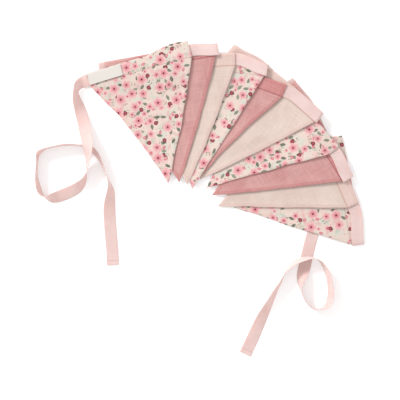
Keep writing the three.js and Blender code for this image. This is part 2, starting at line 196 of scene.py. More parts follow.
def rim_distance(sheet):
    """Distance of every vertex from the sheet's rim, in plan."""
    points = np.array([vertex.co[:2] for vertex in sheet.verts])
    rim = [edge for edge in sheet.edges if edge.is_boundary]
    nearest = np.full(len(points), np.inf)
    for edge in rim:
        start, end = (np.array(vertex.co[:2]) for vertex in edge.verts)
        side = end - start
        share = np.clip((points - start) @ side / (side @ side), 0, 1)
        nearest = np.minimum(nearest, np.linalg.norm(points - start - share[:, None] * side, axis=1))
    return nearest


def link_piece(name, mesh):
    """A finished piece, shaded smooth, that rides with the bunting."""
    made = bpy.data.objects.new(name, mesh)
    bpy.context.scene.collection.objects.link(made)
    for face in mesh.polygons:
        face.use_smooth = True
    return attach(made, "root")


print("Sheet helpers ready")

# %% [markdown]
# ### Sewing and creases
# Folding leaves creases. They are given one by one, because chance would not put them where they are: each
# one is a soft ridge or trough between two ends on its pennant, with a width and a height.

# %% Creases given one by one
# One row for each crease: pennant, start and end as (across, up from the tip), width and height, all in mm
CREASE_COLUMNS = ("number", "start", "end", "width", "height")
CREASE_ROWS = (
    (1, (-18, 60), (-52, 168), 7, 0.9),
    (1, (22, 118), (58, 186), 6, 0.8),
    (1, (0, 134), (64, 122), 3.5, 0.7),
    (1, (0, 125), (64, 113), 4, 0.6),
    (1, (-30, 140), (24, 92), 8, 0.7),
    (1, (4, 40), (30, 150), 9, -0.4),
    (2, (34, 90), (62, 176), 5, 0.7),
    (2, (28, 122), (64, 117), 4, 0.3),
    (2, (20, 92), (50, 89), 4, -0.3),
    (3, (26, 70), (66, 172), 6, 0.7),
    (3, (32, 112), (58, 107), 3, 0.4),
    (3, (18, 75), (44, 77), 3, -0.4),
    (3, (40, 138), (72, 133), 3, 0.35),
    (4, (24, 66), (60, 160), 6, 0.6),
    (5, (18, 62), (68, 164), 7, 0.9),
    (5, (40, 128), (76, 150), 5, -0.5),
    (6, (6, 64), (58, 150), 8, 1.0),
    (6, (34, 84), (40, 160), 7, -0.6),
    (6, (60, 132), (20, 172), 6, 0.6),
    (7, (34, 90), (66, 160), 6, 0.7),
    (8, (36, 92), (72, 168), 5, 0.8),
    (8, (26, 80), (48, 140), 6, -0.5),
    (9, (30, 78), (70, 164), 6, 0.8),
    (9, (42, 120), (74, 140), 5, 0.5),
    (10, (10, 60), (64, 156), 7, 0.7),
    (10, (50, 110), (30, 168), 6, 0.6),
)
creases = [dict(zip(CREASE_COLUMNS, row)) for row in CREASE_ROWS]


def bump(distance, width):
    return math.exp(-(distance / width) ** 2)


def on_pennant(pennant, point):
    """Place of a point on a pennant: across its axis and up from its tip."""
    away = point.xy - pennant["tip"]
    return Vector((away.dot(pennant["right"]), away.dot(pennant["along"])))


def crease_height(crease, place):
    start = Vector(crease["start"]) * MM
    run = Vector(crease["end"]) * MM - start
    share = (place - start).dot(run) / run.length_squared
    if not 0 < share < 1:
        return 0.0
    distance = (place - start - share * run).length
    return crease["height"] * MM * math.sin(math.pi * share) * bump(distance, crease["width"] * MM)


print("Creases:", len(creases), "the highest", max(crease["height"] for crease in creases), "mm")

# %% [markdown]
# The seam allowance inside a turned edge makes a low ridge along it, and the very edge rolls down. The free
# edge on the right of each pennant lifts a little off the one below. The stitches across the heading pull a
# shallow trough, and the cloth in between is never quite flat. The edges wander a little too, most of all far
# from the heading, which the tape holds straight.

# %% Press seams, heading and creases into a sheet
ROLL_WIDTH = 1.2 * MM
ROLL_DROP = 0.35 * MM
SEAM_RIDGE_AT = 4.0 * MM
SEAM_RIDGE_WIDTH = 2.6 * MM
SEAM_RIDGE = 0.28 * MM
PUCKER_LENGTH = 9 * MM
PUCKER = 0.6
STITCH_TROUGH_WIDTH = 1.6 * MM
STITCH_TROUGH = 0.3 * MM
UNEVEN_LENGTH = 26 * MM
UNEVEN = 0.3 * MM
EDGE_LIFT = 0.8 * MM
LIFT_WIDTH = 7 * MM
LIFT_FADE = 20 * MM
WANDER_LENGTH = 30 * MM
WANDER = 1.5 * MM
WANDER_SEED = 7
WANDER_AT_SEAM = 0.3
HELD_BY_SEAM = 30 * MM
CLOTH_THICK = 0.9 * MM

# noise_vector starts from a random place unless a seed is set, so the seed keeps every run alike
noise.seed_set(WANDER_SEED)


def within(value, low, high):
    return min(max(value, low), high)


def heading_at(pennant, across):
    """Place of the heading seam, up from the tip."""
    share = within((across / HALF_HEADING + 1) / 2, 0, 1)
    crown = pennant["crown"] * math.sin(math.pi * share)
    return (pennant["heading"] + crown - pennant["drop"] * (1 - share)) * MM


def sew(sheet, pennant):
    """Presses the sewing into a sheet, and keeps each point's way from the seam, the edge and the axis."""
    own_creases = [crease for crease in creases if crease["number"] == pennant["number"]]
    seam_way = sheet.verts.layers.float.new("seam")
    edge_way = sheet.verts.layers.float.new("edge")
    across_way = sheet.verts.layers.float.new("across")
    for vertex, edge in zip(sheet.verts, rim_distance(sheet)):
        place = on_pennant(pennant, vertex.co)
        seam = place.y - heading_at(pennant, place.x)
        pucker = 1 + PUCKER * noise.noise(Vector((place.x, place.y, pennant["number"])) / PUCKER_LENGTH)
        spot = Vector((place.x, place.y, pennant["number"] * UNEVEN_LENGTH)) / UNEVEN_LENGTH
        loose = within(-seam / LIFT_FADE, 0, 1) * within(place.x / LIFT_WIDTH, 0, 1)
        height = vertex.co.z + (
            SEAM_RIDGE * pucker * bump(edge - SEAM_RIDGE_AT, SEAM_RIDGE_WIDTH)
            + EDGE_LIFT * loose * bump(edge, LIFT_WIDTH)
            - ROLL_DROP * bump(edge, ROLL_WIDTH)
            - STITCH_TROUGH * pucker * bump(seam, STITCH_TROUGH_WIDTH)
            + UNEVEN * noise.noise(spot) * (1 - bump(edge, SEAM_RIDGE_AT))
            + sum(crease_height(crease, place) for crease in own_creases)
        )
        free = within(-seam / HELD_BY_SEAM, WANDER_AT_SEAM, 1)
        layer_place = vertex.co / WANDER_LENGTH + Vector((0, 0, pennant["number"]))
        wander = free * WANDER * noise.noise_vector(layer_place)
        vertex.co = Vector((*(vertex.co.xy + wander.xy), max(height, CLOTH_THICK)))
        vertex[seam_way] = seam
        vertex[edge_way] = edge
        vertex[across_way] = place.x


def lay_uv(sheet, place_of):
    """A UV map in metres, so that a weave or a print keeps its real size."""
    layer = sheet.loops.layers.uv.new("cloth")
    for face in sheet.faces:
        for loop in face.loops:
            loop[layer].uv = place_of(loop.vert.co)


print("Heading seams in mm from the tip:", [round(heading_at(p, 0) / MM, 1) for p in pennants])

# %% [markdown]
# Each pennant was cut from another place of its cloth, so every UV map is moved by its own step.
# Solidify then gives the sheet its thickness downwards, inside the solid, and a small bevel rounds the rim.

# %% Make the ten sheets
RIM_BEVEL = 0.3 * MM
RIM_SEGMENTS = 2
RIM_ANGLE = math.radians(60)
PRINT_STEP = Vector((0.37, 0.23))


def thicken(piece, thickness, offset, bevel):
    solid = piece.modifiers.new("thickness", "SOLIDIFY")
    solid.thickness = thickness
    solid.offset = offset
    solid.use_even_offset = True
    rim = piece.modifiers.new("rim", "BEVEL")
    rim.width = bevel
    rim.segments = RIM_SEGMENTS
    rim.limit_method = "ANGLE"
    rim.angle_limit = RIM_ANGLE


for pennant in pennants:
    sheet = upper_face(pennant["node"], FINE_CUTS, SMOOTHING_ROUNDS)
    sew(sheet, pennant)
    lay_uv(sheet, lambda point: on_pennant(pennant, point) + pennant["number"] * PRINT_STEP)
    mesh = bpy.data.meshes.new(pennant["node"] + "_cloth")
    sheet.to_mesh(mesh)
    pennant["surface"] = BVHTree.FromBMesh(sheet)
    sheet.free()
    piece = link_piece(pennant["node"] + "_cloth", mesh)
    thicken(piece, CLOTH_THICK, -1, RIM_BEVEL)
    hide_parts(pennant["node"])
    pennant["piece"] = piece
print("Sheets:", len(pennants), "with", sum(len(p["piece"].data.polygons) for p in pennants), "faces")

# %% [markdown]
# ### Stitches
# A straight machine stitch holds each heading over the tape. Every stitch is a small grain of thread, half
# sunk in the trough that it pulls. A drawn line would be flat from the side, so one rounded grain is laid
# again and again along the seam, on the finished sheet.

# %% Stitch the headings
STITCH_PITCH = 2.9 * MM
STITCH_SIZE = Vector((2.2, 0.6, 0.45)) * MM
RAY_HEIGHT = 0.2


def on_sheet(pennant, across):
    """The point of the heading seam on a pennant's sheet, or None where the sheet has ended."""
    spot = pennant["tip"] + across * pennant["right"] + heading_at(pennant, across) * pennant["along"]
    return pennant["surface"].ray_cast(Vector((*spot, RAY_HEIGHT)), Vector((0, 0, -1)))[:2]


def stitch_heading(pennant):
    thread = bmesh.new()
    for across in np.arange(-HALF_HEADING, HALF_HEADING, STITCH_PITCH).tolist():
        here, normal = on_sheet(pennant, across)
        there, _ = on_sheet(pennant, across + STITCH_PITCH)
        if here is None or there is None:
            continue
        run = (there - here).normalized()
        side = normal.cross(run).normalized()
        turn = Matrix((run, side, run.cross(side))).transposed().to_4x4()
        size = Matrix.Diagonal((*STITCH_SIZE / 2, 1))
        bmesh.ops.create_icosphere(thread, subdivisions=1, radius=1,
                                   matrix=Matrix.Translation((here + there) / 2) @ turn @ size)
    mesh = bpy.data.meshes.new(pennant["node"] + "_stitches")
    thread.to_mesh(mesh)
    thread.free()
    return link_piece(pennant["node"] + "_stitches", mesh)


for pennant in pennants:
    pennant["stitches"] = stitch_heading(pennant)
print("Stitches:", sum(len(p["stitches"].data.polygons) for p in pennants), "faces")

# %% [markdown]
# ## The tape
# One tape joins all the pennants, so it is one long strip that goes back and forth through the pile and ends
# in two loose tails. Its path is already in the solid, ring by ring. The rings are followed from one end to
# the other, a smooth curve is drawn through them, and a grid is laid along that curve. The grid carries a
# UV map of length and width, so the weave of the tape follows every bend. Both ends are turned in and sewn,
# so the last few millimetres lie a little higher.

# %% Follow the rings of the tape
RING = 6
LEFT_END = Vector((-131.3 * MM, -98.9 * MM))


def tape_rings():
    """Three points across the tape for every ring of its solid, from the left tail to the right one."""
    solid = bmesh.new()
    solid.from_mesh(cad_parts["tape"].data)
    bmesh.ops.remove_doubles(solid, verts=solid.verts, dist=MERGE)
    ring = sorted(solid.verts, key=lambda vertex: (vertex.co.xy - LEFT_END).length)[:RING]
    seen, rings, across = set(ring), [], None
    while ring:
        points = np.array([vertex.co for vertex in ring])
        spread = points - points.mean(axis=0)
        axis = np.linalg.svd(spread)[2][0]
        if across is not None and axis @ across < 0:
            axis = -axis
        across = axis
        order = np.argsort(spread @ axis)
        rings.append([points[order[pair:pair + 2]].mean(axis=0) for pair in (0, 2, 4)])
        centre = Vector(points.mean(axis=0))
        linked = {edge.other_vert(vertex) for vertex in ring for edge in vertex.link_edges} - seen
        ring = sorted(linked, key=lambda vertex: (vertex.co - centre).length)[:RING]
        seen.update(ring)
    solid.free()
    return np.array(rings)


rings = tape_rings()
middle = rings[:, 1]
tape_length = float(np.linalg.norm(np.diff(middle, axis=0), axis=1).sum())
print("Tape:", len(rings), "rings,", round(tape_length, 3), "m long")

# %% A smooth curve through the rings
TAPE_PITCH = 3 * MM


def smooth_path(points, places):
    """A Catmull-Rom curve through points, read at places counted in points from the first."""
    padded = np.concatenate([2 * points[:1] - points[1:2], points, 2 * points[-1:] - points[-2:-1]])
    first = np.minimum(places.astype(int), len(points) - 2)
    t = (places - first)[:, None]
    a, b, c, d = (padded[first + step] for step in range(4))
    return 0.5 * (2 * b + (c - a) * t + (2 * a - 5 * b + 4 * c - d) * t ** 2
                  + (3 * b - a - 3 * c + d) * t ** 3)


along_rings = np.concatenate([[0], np.cumsum(np.linalg.norm(np.diff(middle, axis=0), axis=1))])
tape_rows = int(tape_length / TAPE_PITCH)
row_lengths = np.linspace(0, tape_length, tape_rows)
row_places = np.interp(row_lengths, along_rings, np.arange(len(rings)))
left_line, middle_line, right_line = (smooth_path(rings[:, column], row_places) for column in range(3))
print("Tape rows:", tape_rows)

# %% Lay a fine strip along the curve
TAPE_COLUMNS = 9
TAPE_WIDTH = 18 * MM
TAPE_THICK = 0.8 * MM
TAPE_BEVEL = 0.25 * MM
TAPE_HEM = 7 * MM
HEM_RISE = 0.4 * MM

strip = bmesh.new()
bmesh.ops.create_grid(strip, x_segments=TAPE_COLUMNS - 1, y_segments=tape_rows - 1, size=1)
strip_uv = strip.loops.layers.uv.new("cloth")
strip.verts.ensure_lookup_table()
tape_place = {}
for index, vertex in enumerate(strip.verts):
    row, column = divmod(index, TAPE_COLUMNS)
    share = 2 * column / (TAPE_COLUMNS - 1) - 1
    side = right_line if share > 0 else left_line
    vertex.co = Vector(middle_line[row] + abs(share) * (side[row] - middle_line[row]))
    to_end = min(row_lengths[row], tape_length - row_lengths[row])
    vertex.co.z += HEM_RISE * within((TAPE_HEM - to_end) / TAPE_PITCH, 0, 1)
    tape_place[vertex] = (row_lengths[row], share * TAPE_WIDTH / 2)
for face in strip.faces:
    for loop in face.loops:
        loop[strip_uv].uv = tape_place[loop.vert]
tape_mesh = bpy.data.meshes.new("tape_cloth")
strip.to_mesh(tape_mesh)
strip.free()
tape = link_piece("tape_cloth", tape_mesh)
thicken(tape, TAPE_THICK, 0, TAPE_BEVEL)
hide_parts("tape")
print("Tape strip:", tape_rows, "rows of", TAPE_COLUMNS, "points")

# %% [markdown]
# ## The label
# A narrow white satin strip is sewn over the heading of the top pennant. It is bare. It is made as a pennant
# is, from the upper face of its solid, so it bends with the heading under it.

# %% Make the label
LABEL_CUTS = 3
LABEL_ROUNDS = 4
label_sheet = upper_face("label", LABEL_CUTS, LABEL_ROUNDS)
lay_uv(label_sheet, lambda point: on_pennant(pennants[0], point))
label_mesh = bpy.data.meshes.new("label_cloth")
label_sheet.to_mesh(label_mesh)
label_sheet.free()
label = link_piece("label_cloth", label_mesh)
thicken(label, CLOTH_THICK, -1, RIM_BEVEL)
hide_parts("label")
print("Label:", len(label_mesh.polygons), "faces")

# %% [markdown]
# ## Cloth finishes
# Every cloth here is woven, so the finishes share a few node groups. One makes a plain weave, one makes the
# slubs of uneven yarn, and the others draw a printed flower, a leaf and the random cells they sit in. They
# read the UV map, which is in metres, so a thread is 0.45 mm wide on every pennant and a large flower is 12
# to 18 mm across.

# %% Empty groups and their use
def new_group(name, inputs, outputs):
    """An empty node group, with the sockets that its inside is wired to."""
    group = bpy.data.node_groups.new(name, "ShaderNodeTree")
    for in_out, sockets in (("INPUT", inputs), ("OUTPUT", outputs)):
        for socket_name, kind in sockets.items():
            group.interface.new_socket(socket_name, in_out=in_out, socket_type="NodeSocket" + kind)
    return group, group.nodes.new("NodeGroupInput").outputs, group.nodes.new("NodeGroupOutput").inputs


def use_group(tree, group, **values):
    made = add_node(tree, "ShaderNodeGroup", node_tree=group)
    for name, source in values.items():
        feed(tree, made.inputs[name], source)
    return made.outputs


def split(tree, vector):
    made = add_node(tree, "ShaderNodeSeparateXYZ")
    feed(tree, made.inputs[0], vector)
    return made.outputs["X"], made.outputs["Y"]


def join(tree, x, y):
    made = add_node(tree, "ShaderNodeCombineXYZ")
    feed(tree, made.inputs["X"], x)
    feed(tree, made.inputs["Y"], y)
    return made.outputs[0]


print("Group helpers ready")

# %% Clouds, waves and turns
def soft_noise(tree, place, detail=2.0):
    made = add_node(tree, "ShaderNodeTexNoise", noise_dimensions="2D")
    feed(tree, made.inputs["Vector"], place)
    feed(tree, made.inputs["Scale"], 1.0)
    feed(tree, made.inputs["Detail"], detail)
    return made.outputs[0]


def clouds(tree, place, length, detail=2.0):
    """Soft noise whose patches are about as long as the given length."""
    return soft_noise(tree, vector_calc(tree, "SCALE", place, scale=1 / length), detail)


def wave(tree, value, pitch):
    """A sine wave between 0 and 1 that repeats with the given pitch."""
    turned = calc(tree, "MULTIPLY", value, 2 * math.pi / pitch)
    return calc(tree, "MULTIPLY_ADD", calc(tree, "SINE", turned), 0.5, 0.5)


def turn_about_z(tree, vector, angle):
    made = add_node(tree, "ShaderNodeVectorRotate", rotation_type="Z_AXIS")
    feed(tree, made.inputs["Vector"], vector)
    feed(tree, made.inputs["Angle"], angle)
    return made.outputs[0]


print("Pattern helpers ready")

# %% [markdown]
# In a plain weave the threads go over and under in turn, like a checkerboard. The product of two sine waves
# is positive on one colour of that board and negative on the other, and its size is the height of a thread.
# Slubs are long thin noise, once along the warp and once along the weft.

# %% Weave and slubs
weave, inside, ends = new_group("plain weave", {"Place": "Vector", "Pitch": "Float"},
                                {"Height": "Float", "Over": "Float"})
per_thread = calc(weave, "DIVIDE", math.pi, inside["Pitch"])
warp, weft = split(weave, vector_calc(weave, "SCALE", inside["Place"], scale=per_thread))
board = calc(weave, "MULTIPLY", calc(weave, "SINE", warp), calc(weave, "SINE", weft))
feed(weave, ends["Height"], calc(weave, "SQRT", calc(weave, "ABSOLUTE", board)))
feed(weave, ends["Over"], calc(weave, "GREATER_THAN", board, 0.0))

slubs, inside, ends = new_group("slubs", {"Place": "Vector", "Length": "Float", "Width": "Float"},
                                {"Streak": "Float"})
across, along = split(slubs, inside["Place"])
streaks = [
    soft_noise(slubs, join(slubs, calc(slubs, "DIVIDE", across, inside[wide]),
                           calc(slubs, "DIVIDE", along, inside[long])))
    for wide, long in (("Width", "Length"), ("Length", "Width"))
]
feed(slubs, ends["Streak"], calc(slubs, "SUBTRACT", calc(slubs, "ADD", *streaks), 1.0))
print("Groups:", weave.name, "and", slubs.name)

# %% [markdown]
# A scattered print starts from cells: a Voronoi texture gives every point the centre of its cell and a random
# colour of that cell. The place of the point from the centre, turned by a random angle, is what a motif is
# drawn in. The second random number decides whether the cell stays empty. The third gives a tone or a size.

# %% Cells of the print
CELL_RANDOMNESS = 0.55
cells, inside, ends = new_group("motif cells", {"Place": "Vector", "Cell": "Float", "Step": "Vector"},
                                {"Local": "Vector", "Chance": "Float", "Tone": "Float"})
moved = vector_calc(cells, "ADD", inside["Place"], inside["Step"])
counted = vector_calc(cells, "SCALE", moved, scale=calc(cells, "DIVIDE", 1.0, inside["Cell"]))
scatter = add_node(cells, "ShaderNodeTexVoronoi", voronoi_dimensions="2D", feature="F1")
feed(cells, scatter.inputs["Vector"], counted)
feed(cells, scatter.inputs["Scale"], 1.0)
feed(cells, scatter.inputs["Randomness"], CELL_RANDOMNESS)
from_centre = vector_calc(cells, "SUBTRACT", counted, scatter.outputs["Position"])
chances = add_node(cells, "ShaderNodeSeparateColor")
feed(cells, chances.inputs[0], scatter.outputs["Color"])
any_angle = calc(cells, "MULTIPLY", chances.outputs["Red"], 2 * math.pi)
real_size = vector_calc(cells, "SCALE", from_centre, scale=inside["Cell"])
feed(cells, ends["Local"], turn_about_z(cells, real_size, any_angle))
feed(cells, ends["Chance"], chances.outputs["Green"])
feed(cells, ends["Tone"], chances.outputs["Blue"])
print("Group:", cells.name)

# %% [markdown]
# A flower is a disc whose radius swells five times on the way round. A dark heart sits in the middle, with a
# ring of short stamens round it. A leaf is the space between two parabolas.

# %% Flower
INK_EDGE = 0.35 * MM
PETALS = 5
PETAL_NOTCH = 0.6
PETAL_DEPTH = 0.25
STAMENS = 10
STAMENS_FROM = (0.16, 0.24)
STAMENS_TO = (0.5, 0.36)
STAMEN_EDGE = (0.2, 0.7)
HEART = (0.19, 0.13)

flower, inside, ends = new_group("flower", {"Local": "Vector", "Radius": "Float"},
                                 {"Petals": "Float", "Depth": "Float", "Heart": "Float", "Stamens": "Float"})
x, y = split(flower, inside["Local"])
angle = calc(flower, "ARCTAN2", y, x)
reach = vector_calc(flower, "LENGTH", inside["Local"])
swell = calc(flower, "COSINE", calc(flower, "MULTIPLY", angle, PETALS / 2))
lobes = calc(flower, "SQRT", calc(flower, "ABSOLUTE", swell))
shape = calc(flower, "MULTIPLY_ADD", lobes, 1 - PETAL_NOTCH, PETAL_NOTCH)
outline = calc(flower, "MULTIPLY", inside["Radius"], shape)
depth = calc(flower, "DIVIDE", reach, inside["Radius"])
rays = calc(flower, "COSINE", calc(flower, "MULTIPLY", angle, STAMENS))
ring = calc(flower, "MULTIPLY", fade(flower, depth, *STAMENS_FROM), fade(flower, depth, *STAMENS_TO))
feed(flower, ends["Petals"], fade(flower, calc(flower, "SUBTRACT", outline, reach), 0.0, 2 * INK_EDGE))
feed(flower, ends["Depth"], calc(flower, "SUBTRACT", depth, calc(flower, "MULTIPLY", lobes, PETAL_DEPTH)))
feed(flower, ends["Heart"], fade(flower, depth, *HEART))
feed(flower, ends["Stamens"], calc(flower, "MULTIPLY", ring, fade(flower, rays, *STAMEN_EDGE)))
print("Group:", flower.name)

# %% Leaf
VEIN = (0.35 * MM, 0.15 * MM)
leaf, inside, ends = new_group("leaf", {"Local": "Vector", "Length": "Float", "Width": "Float"},
                               {"Blade": "Float", "Vein": "Float"})
x, y = split(leaf, inside["Local"])
share = calc(leaf, "DIVIDE", x, inside["Length"])
narrowing = calc(leaf, "SUBTRACT", 1.0, calc(leaf, "MULTIPLY", share, share))
half_width = calc(leaf, "MULTIPLY", inside["Width"], narrowing)
from_vein = calc(leaf, "ABSOLUTE", y)
feed(leaf, ends["Blade"], fade(leaf, calc(leaf, "SUBTRACT", half_width, from_vein), 0.0, INK_EDGE))
feed(leaf, ends["Vein"], fade(leaf, from_vein, *VEIN))
print("Group:", leaf.name)

# %% [markdown]
# ### Cloth materials
# Woven cloth is matt, with a faint sheen from its loose fibres. The light is bright enough to make the floor
# white, so each cloth colour is divided by that light. The colour changes from thread to thread and along the
# slubs, and the same two patterns press the weave into the surface.

# %% Shader of a woven cloth
CLOTH_LIGHT = 1.33
CLOTH_SPECULAR = 0.12
SHEEN_ROUGHNESS = 0.6
RELIEF_STRENGTH = 0.5
THREAD = 0.45 * MM
SLUB_LENGTH = 26 * MM
SLUB_WIDTH = 1.7 * MM
SLUB_SPAN = 0.5
SLUB_HEIGHT = 0.6


def cloth_colour(red, green, blue):
    return tuple(value / CLOTH_LIGHT for value in screen_colour(red, green, blue)[:3]) + (1.0,)


def start_cloth(name, roughness, sheen):
    """A material and its shader, whose constant sockets are set here."""
    made = bpy.data.materials.new(name)
    made.use_nodes = True
    shader = made.node_tree.nodes["Principled BSDF"]
    shader.inputs["Roughness"].default_value = roughness
    shader.inputs["Specular IOR Level"].default_value = CLOTH_SPECULAR
    shader.inputs["Sheen Weight"].default_value = sheen
    shader.inputs["Sheen Roughness"].default_value = SHEEN_ROUGHNESS
    return made, made.node_tree, shader


def cloth_place(tree):
    return add_node(tree, "ShaderNodeUVMap", uv_map="cloth").outputs[0]


def press_height(tree, shader, height, depth):
    relief = add_node(tree, "ShaderNodeBump")
    feed(tree, relief.inputs["Strength"], RELIEF_STRENGTH)
    feed(tree, relief.inputs["Distance"], depth)
    feed(tree, relief.inputs["Height"], height)
    feed(tree, shader.inputs["Normal"], relief.outputs[0])


def woven_tint(tree, place, colour, light_thread, dark_thread, slub_strength):
    """A colour with lighter and darker threads, and the height of the weave."""
    threads = use_group(tree, weave, Place=place, Pitch=THREAD)
    streak = use_group(tree, slubs, Place=place, Length=SLUB_LENGTH, Width=SLUB_WIDTH)["Streak"]
    lines = blend(tree, threads["Over"], dark_thread, light_thread)
    tinted = blend(tree, 1.0, colour, lines, "MULTIPLY")
    uneven = fade(tree, streak, -SLUB_SPAN, SLUB_SPAN, 1 - slub_strength, 1 + slub_strength)
    shaded = vector_calc(tree, "SCALE", tinted, scale=uneven)
    return shaded, calc(tree, "MULTIPLY_ADD", streak, SLUB_HEIGHT, threads["Height"])


def tint(tree, colour, mask, strength, shade):
    return blend(tree, calc(tree, "MULTIPLY", mask, strength), colour, cloth_colour(*shade))


print("Cloth shader ready, with threads of", round(THREAD / MM, 2), "mm")

# %% [markdown]
# Where cloth lies double, at the turned edges and in the heading, its colour is deeper. The stitches pull a
# trough, and its shade is painted in as a fine dark line. The left end of a heading is paler again. Every
# sheet keeps the way of each point from its seam, its edge and its axis as three attributes, and one group
# turns them into masks.

# %% Masks of the sewn places
BAND_EDGE = 0.4 * MM
PALE_END = (-25 * MM, -55 * MM)
STITCH_TROUGH_SHADE = (1.3 * MM, 0.3 * MM)
HEM_EDGE = (6.5 * MM, 2.5 * MM)
FOLD_LINE = (1.2 * MM, 0.2 * MM)

sewn, inside, ends = new_group("sewn places", {"Seam": "Float", "Edge": "Float", "Across": "Float"},
                               {name: "Float" for name in ("Band", "Pale", "Line", "Hem", "Fold")})
band = fade(sewn, inside["Seam"], -BAND_EDGE, BAND_EDGE)
from_seam = calc(sewn, "ABSOLUTE", inside["Seam"])
from_fold = calc(sewn, "ABSOLUTE", calc(sewn, "SUBTRACT", inside["Edge"], SEAM_RIDGE_AT))
feed(sewn, ends["Band"], band)
feed(sewn, ends["Pale"], calc(sewn, "MULTIPLY", band, fade(sewn, inside["Across"], *PALE_END)))
# Painted shade of the stitch trough: a fine dark line along the seam
feed(sewn, ends["Line"], fade(sewn, from_seam, *STITCH_TROUGH_SHADE))
feed(sewn, ends["Hem"], fade(sewn, inside["Edge"], *HEM_EDGE))
feed(sewn, ends["Fold"], fade(sewn, from_fold, *FOLD_LINE))


def sewn_places(tree):
    seam, edge, across = (add_node(tree, "ShaderNodeAttribute", attribute_name=name).outputs["Fac"]
                          for name in ("seam", "edge", "across"))
    return use_group(tree, sewn, Seam=seam, Edge=edge, Across=across)


print("Masks:", ", ".join(socket.name for socket in ends if socket.name))

# %% [markdown]
# The rose pennants are a soft muslin and the cream ones a linen. Both are dyed in the piece, so their colour
# only drifts in wide patches, and the sewn places tint it.

# %% Rose muslin and cream linen
PLAIN_PATCH = 38 * MM
PLAIN_PATCH_DETAIL = 3.0
PATCH_EDGE = (0.35, 0.7)
PLAIN_LIGHT_THREAD = (1.03, 1.03, 1.03, 1)
PLAIN_DARK_THREAD = (0.97, 0.965, 0.965, 1)
PLAIN_RELIEF = 0.12 * MM
# Strength of the tint at each sewn place, in the order they are laid
SEWN_TINTS = {"Hem": 0.45, "Band": 0.6, "Pale": 0.5, "Fold": 0.22, "Line": 0.75}


def plain_cloth(name, ground, patch, double, pale, line, slub_strength):
    made, tree, shader = start_cloth(name, roughness=0.95, sheen=0.05)
    place = cloth_place(tree)
    patches = clouds(tree, place, PLAIN_PATCH, PLAIN_PATCH_DETAIL)
    colour = blend(tree, fade(tree, patches, *PATCH_EDGE), cloth_colour(*ground), cloth_colour(*patch))
    shades = {"Hem": double, "Band": double, "Pale": pale, "Fold": line, "Line": line}
    places = sewn_places(tree)
    for sewn_place, strength in SEWN_TINTS.items():
        colour = tint(tree, colour, places[sewn_place], strength, shades[sewn_place])
    shaded, height = woven_tint(tree, place, colour, PLAIN_LIGHT_THREAD, PLAIN_DARK_THREAD, slub_strength)
    feed(tree, shader.inputs["Base Color"], shaded)
    press_height(tree, shader, height, PLAIN_RELIEF)
    return made


# The line colour darkens the fold inside each edge, and paints the shade of the stitch trough.
rose_muslin = plain_cloth("rose_muslin", ground=(220, 168, 164), patch=(213, 156, 153),
                          double=(214, 141, 139), pale=(246, 206, 200), line=(172, 92, 96),
                          slub_strength=0.105)
cream_linen = plain_cloth("cream_linen", ground=(235, 214, 203), patch=(229, 206, 195),
                          double=(241, 210, 201), pale=(240, 212, 203), line=(212, 160, 148),
                          slub_strength=0.06)
print("Plain cloths:", rose_muslin.name, cream_linen.name)

# %% [markdown]
# The print is a loose scatter of small garden flowers, with leaves, sprigs, buds and berries between them. It
# is built up in layers, from the ground to the large flowers, each one blended over the last by its own mask.
# An image could not be sharp from close by, and nodes can.

# %% Inks and motifs of the print
INKS = {
    "grey ground": (226, 222, 209),
    "cream ground": (241, 219, 208),
    "pink ground": (243, 204, 198),
    "red dot": (176, 92, 96),
    "green dot": (120, 128, 104),
    "green shade": (206, 214, 198),
    "pink shade": (241, 193, 188),
    "green sprig": (128, 136, 116),
    "straw sprig": (186, 172, 140),
    "dark leaf": (98, 106, 92),
    "light leaf": (152, 156, 138),
    "vein": (190, 196, 178),
    "bud": (212, 120, 132),
    "bud core": (238, 168, 172),
    "inner petal": (238, 160, 167),
    "outer petal": (247, 199, 197),
    "stamen": (208, 108, 122),
    "heart": (104, 24, 42),
    "light berry": (182, 96, 106),
    "dark berry": (138, 58, 72),
    "berry tuft": (84, 94, 78),
    # Not an ink: the painted shade in the trough of the heading seam
    "heading trough shade": (150, 108, 104),
}
# One row for each motif: size of its cells in mm, their step in m, and the share of them that hold one
MOTIF_COLUMNS = ("cell", "step", "share")
MOTIF_ROWS = {
    "dot": (6.5, (0.11, 0.07), 0.5),
    "shade leaf": (15.625, (0.31, 0.53), 0.6),
    "sprig": (19, (0.71, 0.13), 0.6),
    "leaf": (12.5, (0.05, 0.91), 0.6),
    "bud": (21, (0.43, 0.37), 0.75),
    "small flower": (15, (0.83, 0.47), 0.5),
    "berry": (26, (0.59, 0.83), 0.8),
    "large flower": (20.5, (0.17, 0.29), 0.85),
}
motifs = {name: dict(zip(MOTIF_COLUMNS, row)) for name, row in MOTIF_ROWS.items()}


def ink(name):
    return cloth_colour(*INKS[name])


def scatter_motif(tree, place, name):
    motif = motifs[name]
    return use_group(tree, cells, Place=place, Cell=motif["cell"] * MM, Step=(*motif["step"], 0.0))


def print_motif(tree, below, name, spots, mask, colour):
    """Prints a motif over what lies below, in the share of its cells that hold one."""
    held = calc(tree, "LESS_THAN", spots["Chance"], motifs[name]["share"])
    return blend(tree, calc(tree, "MULTIPLY", mask, held), below, colour)


print("Inks:", len(INKS), "and motifs:", len(motifs))

# %% Ground, dots and pale leaves
PRINT_PATCH = 17 * MM
GREY_EDGE = (0.3, 0.5)
PINK_EDGE = (0.55, 0.72)
PINK_MOST = 0.8
DOT_RADIUS = 0.65 * MM
LEAF_LENGTH, LEAF_WIDTH = 5.0 * MM, 2.3 * MM
SHADE_LENGTH, SHADE_WIDTH = 1.15 * LEAF_LENGTH, 1.2 * LEAF_WIDTH

floral_cotton, tree, shader = start_cloth("floral_cotton", roughness=0.9, sheen=0.05)
place = cloth_place(tree)
patches = clouds(tree, place, PRINT_PATCH)
print_layer = blend(tree, fade(tree, patches, *GREY_EDGE), ink("grey ground"), ink("cream ground"))
print_layer = blend(tree, fade(tree, patches, *PINK_EDGE, 0.0, PINK_MOST), print_layer, ink("pink ground"))

